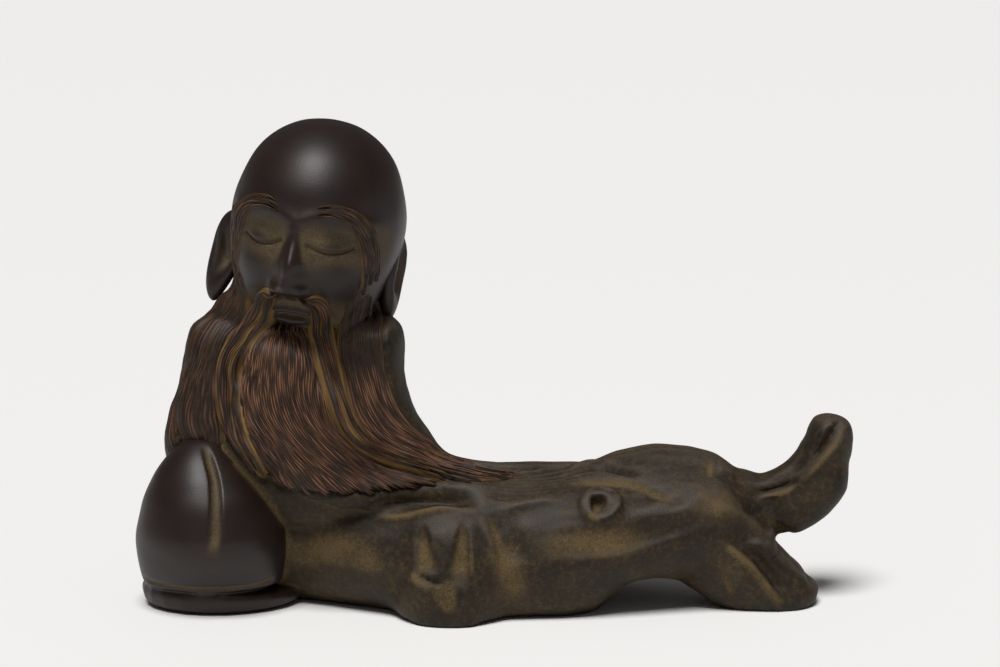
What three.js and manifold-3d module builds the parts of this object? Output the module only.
// A fired clay figurine: the bald head and long beard of an old sage grow out of a fallen
// root, and a peach leans on its left end. Millimetres, +Z up, front towards -Y.
// Such a figure is hand built. Each lump of clay is rolled or pressed by itself and luted to
// its neighbours with slip while it is leather hard, so here each lump is a mesh of its own.
import * as THREE from "three";
import { mergeVertices } from "three/addons/utils/BufferGeometryUtils.js";
import Module from "manifold-3d";

// Luted joints
const SLIP = 0.3; // layer of slip left between two pieces

// Root log, lying along X from its left end at X = 0
const LOG_LENGTH = 97;
const LOG_DEPTH = 34;
const LOG_HEIGHT = 23.5;
const CREASE_DEPTH = 1.6; // creases along the log's grain
const CREASE_WIDTH = 3.6;

// Torso, a stub of trunk that stands on the log and carries the head
const TORSO_PLACE = 19; // from the log's left end
const TORSO_RISE = 30.5; // top, above the log's top
const TORSO_WIDTH = 47;
const TORSO_DEPTH = 31;
const TORSO_FOLDS = 0.7; // soft folds down the back

// Head, measured from chin to crown along its own leaning axis
const HEAD_HEIGHT = 39;
const HEAD_WIDTH = 29;
const HEAD_DEPTH = 31;
const HEAD_TILT = 7.5; // degrees, crown to the right
const HEAD_TURN = 4; // degrees, face to the left
const NECK_TENON = 10.7; // how far the torso reaches up into the head
const CHIN_LEFT = 1.8; // chin, left of the torso's axis
const CHIN_FORWARD = 0.5; // head's axis, in front of the log's middle
const NOSE_RELIEF = 3.2;
const EYE_DEPTH = 1.5;

// Ears
const EAR_LENGTH = 15;
const EAR_WIDTH = 7;
const EAR_THICKNESS = 4.4;
const EAR_HOLLOW = 1;
const LEFT_EAR_SPREAD = 60; // degrees, turned out from the side of the head
const RIGHT_EAR_SPREAD = 12; // degrees

// Hair, all of it thick locks pressed on
const BROW_LENGTH = 19;
const BROW_WIDTH = 6.2;
const BROW_THICKNESS = 3;
const MOUSTACHE_WIDTH = 4.6;
const MOUSTACHE_THICKNESS = 4;
const BEARD_WIDTH = 16;
const BEARD_THICKNESS = 7;
const BEARD_REACH = 39; // tip, right of the torso's middle
const WHISKER_WIDTH = 14;
const WHISKER_THICKNESS = 7;
const WHISKER_REACH = 41; // tip of the right one, right of the torso's middle
const STRAND_DEPTH = 0.45; // combed grooves between strands

// Peach and the low pad of clay under it
const PEACH_PLACE = 2.2; // from the log's left end
const PEACH_WIDTH = 24.8;
const PEACH_HEIGHT = 26;
const PEACH_FORWARD = 7; // in front of the log's middle
const PEACH_GROOVE = 1.4;
const PAD_HEIGHT = 4.4;
const PAD_LENGTH = 27;
const PAD_DEPTH = 19;
const PAD_FORWARD = 4; // middle of the pad, in front of the log's middle

// Root stump that swells out of the log's front, with a worn U-shaped scar
const STUMP_PLACE = 42; // from the log's left end
const STUMP_WIDTH = 19;
const STUMP_HEIGHT = 19;
const STUMP_REACH = 5; // in front of the log
const SCAR_DEPTH = 1.3;

// Knot ring on the log's front
const KNOT_PLACE = 66.6; // from the log's left end
const KNOT_BEARING = 40; // degrees, above the log's foremost line
const KNOT_DIAMETER = 6.8;
const KNOT_ROLL = 2.3; // thickness of the rolled ring

// Upper root, which lies along the log's right half and swells into a burl
const BURL_START = 50; // from the log's left end
const BURL_DEPTH = 19;
const BURL_HEIGHT = 12;
const BURL_RISE = 2.1; // above the log's top

// Branches of the fork at the right end
const FORK_SETBACK = 7; // before the log's right end
const UPPER_BRANCH_REACH = 17.6; // beyond the fork
const UPPER_BRANCH_RISE = 14; // cut end, above the fork
const UPPER_BRANCH_GIRTH = 12.5;
const LOWER_BRANCH_REACH = 13;
const LOWER_BRANCH_GIRTH = 17;
const LOWER_BRANCH_FORWARD = 4; // in front of the log's middle
const SPLIT_DEPTH = 1.1; // splits in the branches' fronts

// Fired clay: purple-brown where rubbed, olive-brown where a wash of slip stays
const RUBBED_CLAY = new THREE.MeshStandardMaterial({ color: 0x3a2a27, roughness: 0.42, metalness: 0 });
const WASHED_CLAY = new THREE.MeshStandardMaterial({ color: 0x40382c, roughness: 0.68, metalness: 0 });
const COMBED_CLAY = new THREE.MeshStandardMaterial({ color: 0x4d3a2e, roughness: 0.62, metalness: 0 });

const UP = new THREE.Vector3(0, 0, 1);
const FRONT = new THREE.Vector3(0, -1, 0);
const RIGHT_ANGLE = Math.PI / 2;
const degrees = THREE.MathUtils.degToRad;

const wasm = await Module();
wasm.setup();

// A geometry whose faces share their corners, so that it is closed at its seams.
function closed(geometry) {
  const bare = geometry.clone();
  bare.deleteAttribute("normal");
  bare.deleteAttribute("uv");
  return mergeVertices(bare);
}

// A three.js geometry as a solid for joining and cutting.
function solid(geometry) {
  const { attributes, index } = closed(geometry);
  return new wasm.Manifold(
    new wasm.Mesh({
      numProp: 3,
      vertProperties: attributes.position.array,
      triVerts: new Uint32Array(index.array),
    }),
  );
}

// A solid as a three.js geometry again.
function geometryOf(body) {
  const mesh = body.getMesh();
  const geometry = new THREE.BufferGeometry();
  geometry.setAttribute("position", new THREE.BufferAttribute(mesh.vertProperties, mesh.numProp));
  geometry.setIndex(new THREE.BufferAttribute(mesh.triVerts, 1));
  geometry.computeVertexNormals();
  return geometry;
}

// A lump's usual relief, none, and the share of its length over which it rounds off.
const FLAT = () => 0;
const ROUND = 0.12;

// Rings crowd towards the ends of a lump, where it rounds off.
const CROWDING = 0.09;

// A ball of clay rolled out along a spine. A station gives a point of the spine, the half-width
// and half-height of the section there, and the way its top faces. The sections are square to
// the spine, or to an axis where one is given. The relief is modelled on the section's angle,
// which starts at the side and turns towards the top. Sides can crowd towards an angle where
// there is more to model.
function lump({
  stations,
  top,
  axis,
  sides,
  rings,
  roundStart = ROUND,
  roundEnd = roundStart,
  relief = FLAT,
  crowd = 0,
  crowdAngle = 0,
}) {
  const spine = new THREE.CatmullRomCurve3(stations.map((s) => s.at));
  const sizes = stations.map((s) => new THREE.Vector3(s.wide, s.tall, 0));
  const girth = new THREE.CatmullRomCurve3(sizes, false, "catmullrom");
  const tops = stations.map((s) => s.top ?? top);
  const facing = new THREE.CatmullRomCurve3(tops, false, "catmullrom");

  // A point of the surface, swollen by some height of relief.
  function surface(share, angle, swell = 0) {
    const start = Math.min(share / roundStart - 1, 0);
    const end = Math.max((share - 1) / roundEnd + 1, 0);
    const fullness = Math.sqrt(1 - (start + end) ** 2);
    const along = axis ?? spine.getTangent(share);
    const side = along.clone().cross(facing.getPoint(share)).normalize();
    const upward = side.clone().cross(along);
    const size = girth.getPoint(share);
    return spine
      .getPoint(share)
      .addScaledVector(side, Math.cos(angle) * (size.x + swell) * fullness)
      .addScaledVector(upward, Math.sin(angle) * (size.y + swell) * fullness);
  }

  // The direction that the surface faces at a point of it.
  function outward(share, angle) {
    const step = 0.01;
    const along = surface(share + step, angle).sub(surface(share - step, angle));
    const round = surface(share, angle + step).sub(surface(share, angle - step));
    return along.cross(round).normalize();
  }

  // The closed skin, or one that lies `grow` outside it.
  function geometry(grow = 0) {
    const ball = new THREE.SphereGeometry(1, sides, rings);
    const { position, uv } = ball.attributes;
    for (let i = 0; i < position.count; i++) {
      const turn = 1 - uv.getY(i);
      const share = turn - CROWDING * Math.sin(2 * Math.PI * turn);
      const spin = uv.getX(i) * 2 * Math.PI;
      const angle = spin - crowd * Math.sin(spin - crowdAngle);
      const point = surface(share, angle, relief(share, angle));
      position.setXYZ(i, point.x, point.y, point.z);
    }
    const skin = closed(ball);
    skin.computeVertexNormals();
    const normal = skin.attributes.normal;
    const point = new THREE.Vector3();
    const push = new THREE.Vector3();
    for (let i = 0; i < normal.count; i++) {
      push.fromBufferAttribute(normal, i);
      point.fromBufferAttribute(skin.attributes.position, i).addScaledVector(push, grow);
      skin.attributes.position.setXYZ(i, point.x, point.y, point.z);
    }
    return skin;
  }

  return { surface, outward, geometry };
}

// A rounded swelling (or hollow, if negative) of the relief round one place of a lump.
function mark(share, angle, place, bearing, spanShare, spanAngle, height) {
  const turn = Math.atan2(Math.sin(angle - bearing), Math.cos(angle - bearing));
  const far = ((share - place) / spanShare) ** 2 + (turn / spanAngle) ** 2;
  return height * Math.exp(-far);
}

// Combed strands along the outer face of a lock of hair.
function strands(count) {
  return (share, angle) =>
    angle < Math.PI ? STRAND_DEPTH * Math.sin(angle) * Math.cos(count * Math.PI * Math.cos(angle)) : 0;
}

// The largest body of a solid: the off-cuts of a trimmed lump are thrown away.
function largest(body) {
  return body.decompose().sort((a, b) => b.volume() - a.volume())[0];
}

// The clay above the table.
const TABLE_SPAN = 4 * LOG_LENGTH;
const room = new THREE.BoxGeometry(TABLE_SPAN, TABLE_SPAN, TABLE_SPAN);
const aboveTable = solid(room.translate(0, 0, TABLE_SPAN / 2));

const figurine = new THREE.Group();

// Trims a lump to sit on the pieces that it is luted to, a layer of slip away, and adds it.
function lute(name, piece, material, seats) {
  let body = solid(piece.geometry()).intersect(aboveTable);
  for (const seat of seats) body = body.subtract(solid(seat.geometry(SLIP)));
  const mesh = new THREE.Mesh(geometryOf(largest(body)), material);
  mesh.name = name;
  figurine.add(mesh);
}

// Creases that the log dried into. Columns are where the middle of each lies and its length, as
// shares of the log's length, its bearing round the section, and how far that turns along it.
// The one that turns is the fold of bark below the burl.
const creases = [
  [0.55, 0.3, 84, 0],
  [0.56, 0.24, 60, 0],
  [0.74, 0.22, 52, -46],
  [0.7, 0.36, 14, 0],
  [0.7, 0.44, 150, 0],
  [0.6, 0.56, 176, 0],
];
function crease(share, angle) {
  const spanAngle = CREASE_WIDTH / LOG_DEPTH;
  let relief = 0;
  for (const [place, length, bearing, turn] of creases) {
    const bend = (turn * (share - place)) / length;
    relief += mark(share, angle, place, degrees(bearing + bend), length / 2, spanAngle, -CREASE_DEPTH);
  }
  return relief;
}

// Root log: columns are the section's centre and half sizes, as shares of the log's depth and
// height, at even steps along its length.
const evenly = (rows, build) => rows.map((row, i) => build(i / (rows.length - 1), ...row));
const log = lump({
  stations: evenly(
    [
      [0.14, 0.4, 0.31, 0.36],
      [0.1, 0.45, 0.4, 0.47],
      [0.02, 0.44, 0.49, 0.51],
      [-0.04, 0.41, 0.51, 0.56],
      [-0.05, 0.4, 0.52, 0.57],
      [-0.06, 0.44, 0.47, 0.55],
      [-0.05, 0.6, 0.38, 0.4],
      [-0.03, 0.58, 0.27, 0.28],
    ],
    (along, back, rise, deep, tall) => ({
      at: new THREE.Vector3(along * LOG_LENGTH, back * LOG_DEPTH, rise * LOG_HEIGHT),
      wide: deep * LOG_DEPTH,
      tall: tall * LOG_HEIGHT,
    }),
  ),
  axis: new THREE.Vector3(1, 0, 0),
  top: UP,
  sides: 36,
  rings: 26,
  crowd: 0.4,
  crowdAngle: degrees(60),
  relief: (share, angle) =>
    crease(share, angle) +
    mark(share, angle, 0.2, degrees(-12), 0.09, degrees(38), -0.07 * LOG_DEPTH) +
    mark(share, angle, 0.74, degrees(-62), 0.06, degrees(40), -0.14 * LOG_DEPTH) +
    mark(share, angle, 0.64, degrees(-14), 0.12, degrees(13), -0.03 * LOG_DEPTH) +
    mark(share, angle, 0.5, degrees(190), 0.12, degrees(25), -0.04 * LOG_DEPTH),
});

// Torso: columns are the section's centre and half sizes, as shares of its width and depth,
// at even steps from its base, sunk in the log, to the tenon at its top.
const torsoBase = 0.46 * LOG_HEIGHT;
const torsoTop = LOG_HEIGHT + TORSO_RISE;
const torso = lump({
  stations: evenly(
    [
      [0.05, 0.06, 0.38, 0.35],
      [0.03, 0.08, 0.5, 0.5],
      [-0.05, 0.1, 0.41, 0.485],
      [-0.08, 0.1, 0.35, 0.435],
      [-0.065, 0.1, 0.31, 0.39],
      [-0.03, 0.1, 0.2, 0.26],
    ],
    (climb, right, back, wide, deep) => ({
      at: new THREE.Vector3(
        TORSO_PLACE + right * TORSO_WIDTH,
        back * TORSO_DEPTH,
        THREE.MathUtils.lerp(torsoBase, torsoTop, climb),
      ),
      wide: wide * TORSO_WIDTH,
      tall: deep * TORSO_DEPTH,
    }),
  ),
  axis: UP,
  top: FRONT,
  sides: 28,
  rings: 16,
  relief: (share, angle) => TORSO_FOLDS * Math.cos(7 * angle) * Math.max(0, -Math.sin(angle)),
});

// The head's own frame: origin at the chin end of its axis, x to the right, y to the back.
const chin = new THREE.Vector3(TORSO_PLACE - CHIN_LEFT, -CHIN_FORWARD, torsoTop - NECK_TENON);
const headFrame = new THREE.Matrix4()
  .makeTranslation(chin)
  .multiply(new THREE.Matrix4().makeRotationY(degrees(HEAD_TILT)))
  .multiply(new THREE.Matrix4().makeRotationZ(degrees(-HEAD_TURN)));
const inHead = (right, back, rise) => new THREE.Vector3(right, back, rise).applyMatrix4(headFrame);
const headWay = (right, back, rise) => new THREE.Vector3(right, back, rise).transformDirection(headFrame);

// Head: columns are how far the section's centre is set back and its half sizes, as shares of
// the head's depth and width, at even steps from chin to crown. The face is a plain one on the
// usual rule of thumb: eyes half-way up, nose half-way from eyes to chin, mouth a third of the
// way from nose to chin, and one eye's width between the eyes.
const EYE_LINE = 0.5;
const NOSE_BASE = 0.25;
const MOUTH_LINE = 0.165;
const EYE_BEARING = degrees(24);
const face = RIGHT_ANGLE;
const head = lump({
  stations: evenly(
    [
      [-0.15, 0.2, 0.18],
      [-0.08, 0.335, 0.32],
      [-0.02, 0.43, 0.43],
      [0.0, 0.485, 0.485],
      [0.01, 0.5, 0.5],
      [0.01, 0.5, 0.5],
      [0.01, 0.5, 0.5],
    ],
    (rise, back, wide, deep) => ({
      at: inHead(0, back * HEAD_DEPTH, rise * HEAD_HEIGHT),
      wide: wide * HEAD_WIDTH,
      tall: deep * HEAD_DEPTH,
    }),
  ),
  top: headWay(0, -1, 0),
  sides: 36,
  rings: 26,
  roundStart: 0.2,
  roundEnd: 0.42,
  relief: (share, angle) => {
    const feature = (place, bearing, span, turn, height) =>
      mark(share, angle, place, face + bearing, span, degrees(turn), height);
    const pair = (place, span, turn, height) =>
      feature(place, -EYE_BEARING, span, turn, height) + feature(place, EYE_BEARING, span, turn, height);
    const tip = feature(NOSE_BASE + 0.05, 0, 0.06, 9, NOSE_RELIEF);
    const bridge = feature(0.4, 0, 0.1, 7, 0.5 * NOSE_RELIEF);
    const eyes = pair(EYE_LINE, 0.07, 13, -EYE_DEPTH);
    const cheeks = pair(0.34, 0.08, 14, 0.6 * EYE_DEPTH);
    const mouth = feature(MOUTH_LINE, 0, 0.025, 18, -0.4 * EYE_DEPTH);
    return tip + bridge + eyes + cheeks + mouth;
  },
});

// A point in front of a lump's surface, with the way it faces, for locks that lie along it.
const on = (piece, share, bearing, lift, wide, tall) => {
  const top = piece.outward(share, degrees(bearing));
  const at = piece.surface(share, degrees(bearing)).addScaledVector(top, lift);
  return { at, top, wide, tall };
};

// The place half-way between two such points, for a lock that bridges an inside corner.
const midway = (a, b) => ({
  at: a.at.clone().lerp(b.at, 0.5),
  top: a.top.clone().add(b.top).normalize(),
  wide: (a.wide + b.wide) / 2,
  tall: (a.tall + b.tall) / 2,
});

// Ears: long lobes from brow to below the nose, set into the sides of the head. side is -1 for
// the left ear and 1 for the right.
function ear(side, spread) {
  const foot = NOSE_BASE * HEAD_HEIGHT - 0.25 * EAR_LENGTH;
  const shape = [
    [1.0, 0.28, 0.46, 0.3],
    [0.72, 0.22, 0.5, 0.46],
    [0.4, 0.12, 0.4, 0.5],
    [0.0, 0.04, 0.3, 0.46],
  ];
  return lump({
    stations: shape.map(([rise, back, wide, tall]) => {
      const height = foot + rise * EAR_LENGTH;
      const bearing = face - side * RIGHT_ANGLE;
      const skin = head.surface(height / HEAD_HEIGHT, bearing);
      const setBack = headWay(0, 1, 0).multiplyScalar(back * EAR_WIDTH);
      const standOut = headWay(side, 0, 0).multiplyScalar(0.2 * EAR_WIDTH);
      return {
        at: skin.add(setBack).add(standOut),
        top: headWay(side * Math.cos(degrees(spread)), -Math.sin(degrees(spread)), 0),
        wide: wide * EAR_WIDTH,
        tall: tall * EAR_THICKNESS,
      };
    }),
    sides: 12,
    rings: 10,
    roundStart: 0.3,
    relief: (share, angle) => mark(share, angle, 0.45, RIGHT_ANGLE, 0.25, degrees(40), -EAR_HOLLOW),
  });
}
const leftEar = ear(-1, LEFT_EAR_SPREAD);
const rightEar = ear(1, RIGHT_EAR_SPREAD);

// Stump: a rounded knee of root that reaches forward and down to the table.
const stumpFront = LOG_DEPTH / 2 + STUMP_REACH;
const stump = lump({
  stations: [
    [0.92, 0.3, 0.3, 0.2],
    [0.72, 0.5, 0.46, 0.36],
    [0.46, 0.6, 0.5, 0.4],
    [0.12, 0.6, 0.5, 0.4],
    [-0.25, 0.56, 0.42, 0.36],
  ].map(([rise, forward, wide, deep]) => ({
    at: new THREE.Vector3(STUMP_PLACE, -forward * stumpFront, rise * STUMP_HEIGHT),
    wide: wide * STUMP_WIDTH,
    tall: deep * stumpFront,
  })),
  top: FRONT,
  sides: 22,
  rings: 14,
  roundStart: 0.24,
  relief: (share, angle) =>
    mark(share, angle, 0.44, degrees(90), 0.13, degrees(24), -SCAR_DEPTH) +
    mark(share, angle, 0.37, degrees(88), 0.06, degrees(9), SCAR_DEPTH),
});

// Upper root: starts flush in the log's back, climbs over its top and swells into a burl.
const burlMiddle = LOG_HEIGHT + BURL_RISE - BURL_HEIGHT / 2;
const upperRoot = lump({
  stations: [
    [0.0, 0.2, -0.42, 0.22, 0.3],
    [0.3, 0.16, -0.2, 0.38, 0.4],
    [0.56, 0.08, 0.0, 0.5, 0.5],
    [0.8, 0.04, -0.1, 0.46, 0.47],
    [1.0, 0.02, -0.42, 0.36, 0.4],
  ].map(([along, back, rise, deep, tall]) => ({
    at: new THREE.Vector3(
      BURL_START + along * (LOG_LENGTH - BURL_START),
      back * BURL_DEPTH,
      burlMiddle + rise * BURL_HEIGHT,
    ),
    wide: deep * BURL_DEPTH,
    tall: tall * BURL_HEIGHT,
  })),
  top: UP,
  sides: 18,
  rings: 14,
});

// Lower branch: a blunt stub that props the fork on the table.
const forkPlace = LOG_LENGTH - FORK_SETBACK;
const propHeight = 0.62 * LOG_HEIGHT;
const lowerBranch = lump({
  stations: [
    [-1.0, 0.95, 0.46, 0.36],
    [-0.45, 0.76, 0.54, 0.48],
    [0.15, 0.42, 0.5, 0.5],
    [0.65, 0.14, 0.42, 0.42],
    [1.0, -0.02, 0.32, 0.32],
  ].map(([reach, rise, deep, tall]) => ({
    at: new THREE.Vector3(forkPlace + reach * LOWER_BRANCH_REACH, -LOWER_BRANCH_FORWARD, rise * propHeight),
    wide: deep * LOWER_BRANCH_GIRTH,
    tall: tall * LOWER_BRANCH_GIRTH,
  })),
  top: UP,
  sides: 18,
  rings: 14,
  roundStart: 0.2,
  relief: (share, angle) => mark(share, angle, 0.6, degrees(20), 0.2, degrees(9), -SPLIT_DEPTH),
});

// Upper branch: curls up from the fork to a cut end, with a split down its front.
const forkHeight = 0.745 * LOG_HEIGHT;
const upperBranch = lump({
  stations: [
    [-0.55, 0.0, 0.56, 0.5],
    [0.1, -0.02, 0.54, 0.52],
    [0.6, 0.19, 0.48, 0.47],
    [0.84, 0.6, 0.4, 0.38],
    [0.88, 1.0, 0.32, 0.3],
  ].map(([reach, rise, deep, tall]) => ({
    at: new THREE.Vector3(forkPlace + reach * UPPER_BRANCH_REACH, 0, forkHeight + rise * UPPER_BRANCH_RISE),
    wide: deep * UPPER_BRANCH_GIRTH,
    tall: tall * UPPER_BRANCH_GIRTH,
  })),
  top: new THREE.Vector3(-1, 0, 1),
  sides: 18,
  rings: 16,
  roundStart: 0.1,
  relief: (share, angle) => mark(share, angle, 0.8, degrees(35), 0.3, degrees(10), -SPLIT_DEPTH),
});

// Knot: a ring of rolled clay pressed round a branch scar on the log's front.
const knotSeat = on(log, KNOT_PLACE / LOG_LENGTH, KNOT_BEARING, 0, 0, 0);
const knot = {
  geometry(grow = 0) {
    const radius = (KNOT_DIAMETER - KNOT_ROLL) / 2;
    const ring = new THREE.TorusGeometry(radius, KNOT_ROLL / 2 + grow, 8, 16);
    const turn = new THREE.Quaternion().setFromUnitVectors(UP, knotSeat.top);
    return ring.applyQuaternion(turn).translate(knotSeat.at.x, knotSeat.at.y, knotSeat.at.z);
  },
};

// Pad of clay under the peach.
const pad = lump({
  stations: [
    [-0.3, 0.44],
    [0.5, 0.5],
    [1.0, 0.46],
  ].map(([rise, share]) => ({
    at: new THREE.Vector3(PEACH_PLACE, -PAD_FORWARD, rise * PAD_HEIGHT),
    wide: share * PAD_LENGTH,
    tall: share * PAD_DEPTH,
  })),
  top: FRONT,
  sides: 22,
  rings: 8,
  roundStart: 0.3,
});

// Peach: a full round fruit with a pointed tip and one long groove.
const peachFoot = 0.75 * PAD_HEIGHT;
const peach = lump({
  stations: [
    [0.0, 0.3],
    [0.14, 0.44],
    [0.38, 0.5],
    [0.62, 0.43],
    [0.84, 0.26],
    [1.0, 0.1],
  ].map(([rise, share]) => ({
    at: new THREE.Vector3(PEACH_PLACE, -PEACH_FORWARD, peachFoot + rise * PEACH_HEIGHT),
    wide: share * PEACH_WIDTH,
    tall: share * PEACH_WIDTH,
  })),
  top: FRONT,
  sides: 24,
  rings: 14,
  roundStart: 0.16,
  relief: (share, angle) => mark(share, angle, 0.62, degrees(74), 0.42, degrees(8), -PEACH_GROOVE),
});

// A point in front of the log's surface, at some reach to the right of the torso's middle.
const onLog = (reach, ...rest) => on(log, (TORSO_PLACE + reach) / LOG_LENGTH, ...rest);

// Beard: falls from the chin, then sweeps right along the log's top.
const half = 0.5;
const beard = lump({
  stations: [
    {
      at: inHead(0, -0.36 * HEAD_DEPTH, 0.06 * HEAD_HEIGHT),
      top: headWay(0, -1, 0),
      wide: 0.36 * BEARD_WIDTH,
      tall: 0.34 * BEARD_THICKNESS,
    },
    on(torso, 0.68, 94, 0.16 * BEARD_THICKNESS, 0.46 * BEARD_WIDTH, half * BEARD_THICKNESS),
    on(torso, 0.52, 91, 0.12 * BEARD_THICKNESS, half * BEARD_WIDTH, half * BEARD_THICKNESS),
    on(torso, 0.36, 78, 0.1 * BEARD_THICKNESS, half * BEARD_WIDTH, half * BEARD_THICKNESS),
    onLog(0.36 * BEARD_REACH, 58, 0.14 * BEARD_THICKNESS, 0.4 * BEARD_WIDTH, 0.44 * BEARD_THICKNESS),
    onLog(0.7 * BEARD_REACH, 62, 0.0, 0.28 * BEARD_WIDTH, 0.34 * BEARD_THICKNESS),
    onLog(BEARD_REACH, 66, -0.06 * BEARD_THICKNESS, 0.16 * BEARD_WIDTH, 0.22 * BEARD_THICKNESS),
  ],
  sides: 24,
  rings: 22,
  relief: strands(3),
});

// Whiskers: the side locks, from below each ear. The right one sweeps on to the log.
const leftWhisker = lump({
  stations: [
    on(head, 0.28, 168, 0, 0.3 * WHISKER_WIDTH, 0.34 * WHISKER_THICKNESS),
    on(torso, 0.76, 152, 0.1 * WHISKER_THICKNESS, 0.46 * WHISKER_WIDTH, half * WHISKER_THICKNESS),
    on(torso, 0.6, 150, 0.08 * WHISKER_THICKNESS, half * WHISKER_WIDTH, half * WHISKER_THICKNESS),
    on(torso, 0.44, 152, 0.06 * WHISKER_THICKNESS, half * WHISKER_WIDTH, half * WHISKER_THICKNESS),
    on(torso, 0.26, 154, 0, 0.46 * WHISKER_WIDTH, 0.46 * WHISKER_THICKNESS),
  ],
  sides: 18,
  rings: 14,
  relief: strands(2),
});
const rightWhisker = lump({
  stations: [
    on(head, 0.3, 14, 0, 0.26 * WHISKER_WIDTH, 0.3 * WHISKER_THICKNESS),
    on(torso, 0.78, 36, 0.1 * WHISKER_THICKNESS, 0.42 * WHISKER_WIDTH, half * WHISKER_THICKNESS),
    on(torso, 0.6, 38, 0.06 * WHISKER_THICKNESS, half * WHISKER_WIDTH, half * WHISKER_THICKNESS),
    on(torso, 0.46, 38, 0, half * WHISKER_WIDTH, half * WHISKER_THICKNESS),
    midway(
      on(torso, 0.32, 40, 0, 0.46 * WHISKER_WIDTH, 0.44 * WHISKER_THICKNESS),
      onLog(0.53 * WHISKER_REACH, 72, 0, 0.46 * WHISKER_WIDTH, 0.44 * WHISKER_THICKNESS),
    ),
    onLog(0.77 * WHISKER_REACH, 74, 0, 0.34 * WHISKER_WIDTH, 0.34 * WHISKER_THICKNESS),
    onLog(WHISKER_REACH, 80, -0.06 * WHISKER_THICKNESS, 0.2 * WHISKER_WIDTH, 0.24 * WHISKER_THICKNESS),
  ],
  sides: 18,
  rings: 20,
  relief: strands(2),
});

// Moustache: two tapering locks that part under the nose and lie over the beard with their
// broad side to the front. The beard's spine runs down, so its angles start at the left.
function moustache(places) {
  const broadside = (top) => top.clone().addScaledVector(FRONT, 3).normalize();
  const stations = places.map((place) => ({ ...place, top: broadside(place.top) }));
  return lump({ stations, sides: 10, rings: 18, relief: strands(1) });
}
const lip = half * (NOSE_BASE + MOUTH_LINE);
const lockWide = half * MOUSTACHE_WIDTH;
const lockTall = half * MOUSTACHE_THICKNESS;
const leftMoustache = moustache([
  on(head, lip, 96, 0, 0.5 * lockWide, 0.5 * lockTall),
  on(head, lip - 0.05, 120, 0.2 * lockTall, 0.9 * lockWide, lockTall),
  on(beard, 0.15, 40, 0.2 * lockTall, lockWide, lockTall),
  on(beard, 0.28, 36, 0.2 * lockTall, lockWide, lockTall),
  on(beard, 0.4, 32, 0.1 * lockTall, 0.8 * lockWide, 0.8 * lockTall),
  on(beard, 0.48, 30, 0, 0.4 * lockWide, 0.5 * lockTall),
]);
const rightMoustache = moustache([
  on(head, lip, 84, 0, 0.5 * lockWide, 0.5 * lockTall),
  on(head, lip - 0.05, 62, 0.2 * lockTall, 0.9 * lockWide, lockTall),
  on(beard, 0.17, 146, 0.5 * lockTall, lockWide, lockTall),
  on(beard, 0.32, 138, 0.4 * lockTall, lockWide, lockTall),
  on(beard, 0.5, 130, 0.3 * lockTall, 0.8 * lockWide, 0.8 * lockTall),
  on(beard, 0.66, 126, 0.2 * lockTall, 0.4 * lockWide, 0.5 * lockTall),
]);

// Brows: locks that start above the eyes and hang down past the temples.
function brow(side) {
  const fall = BROW_LENGTH / HEAD_HEIGHT;
  const place = (turn, rise, wide, tall) =>
    on(head, EYE_LINE + rise * fall, 90 - side * turn, 0, wide * BROW_WIDTH, tall * BROW_THICKNESS);
  return lump({
    stations: [
      place(11, 0.14, 0.26, 0.3),
      place(27, 0.26, 0.46, 0.5),
      place(48, 0.08, 0.5, 0.5),
      place(60, -0.42, 0.3, 0.3),
    ],
    sides: 12,
    rings: 12,
    relief: strands(1),
  });
}
const leftBrow = brow(-1);
const rightBrow = brow(1);

// The order of luting: each piece is trimmed to the ones already in place.
lute("root_log", log, WASHED_CLAY, []);
lute("torso", torso, WASHED_CLAY, [log]);
lute("root_stump", stump, WASHED_CLAY, [log, torso]);
lute("upper_root", upperRoot, WASHED_CLAY, [log, torso]);
lute("lower_branch", lowerBranch, WASHED_CLAY, [log, upperRoot]);
lute("upper_branch", upperBranch, WASHED_CLAY, [log, upperRoot, lowerBranch]);
lute("knot_ring", knot, WASHED_CLAY, [log, upperRoot]);
lute("peach_pad", pad, RUBBED_CLAY, [log, torso]);
lute("peach", peach, RUBBED_CLAY, [pad, log, torso]);
lute("head", head, RUBBED_CLAY, [torso]);
lute("left_ear", leftEar, RUBBED_CLAY, [head, torso]);
lute("right_ear", rightEar, RUBBED_CLAY, [head, torso]);
lute("beard", beard, COMBED_CLAY, [head, torso, log, stump, upperRoot, peach]);
lute("left_moustache", leftMoustache, COMBED_CLAY, [head, torso, beard]);
lute("right_moustache", rightMoustache, COMBED_CLAY, [head, torso, beard, leftMoustache]);
lute("left_whisker", leftWhisker, COMBED_CLAY, [head, torso, leftEar, log, beard, peach, leftMoustache]);
const rightSeats = [head, torso, rightEar, log, upperRoot, beard, rightMoustache];
lute("right_whisker", rightWhisker, COMBED_CLAY, rightSeats);
lute("left_eyebrow", leftBrow, COMBED_CLAY, [head, leftEar, leftWhisker]);
lute("right_eyebrow", rightBrow, COMBED_CLAY, [head, rightEar, rightWhisker]);

// The part's origin is under the middle of the figurine, on the table.
const extent = new THREE.Box3().setFromObject(figurine);
const middle = extent.getCenter(new THREE.Vector3());
figurine.position.set(-middle.x, -middle.y, -extent.min.z);

const part = new THREE.Group();
part.add(figurine);
export default part;
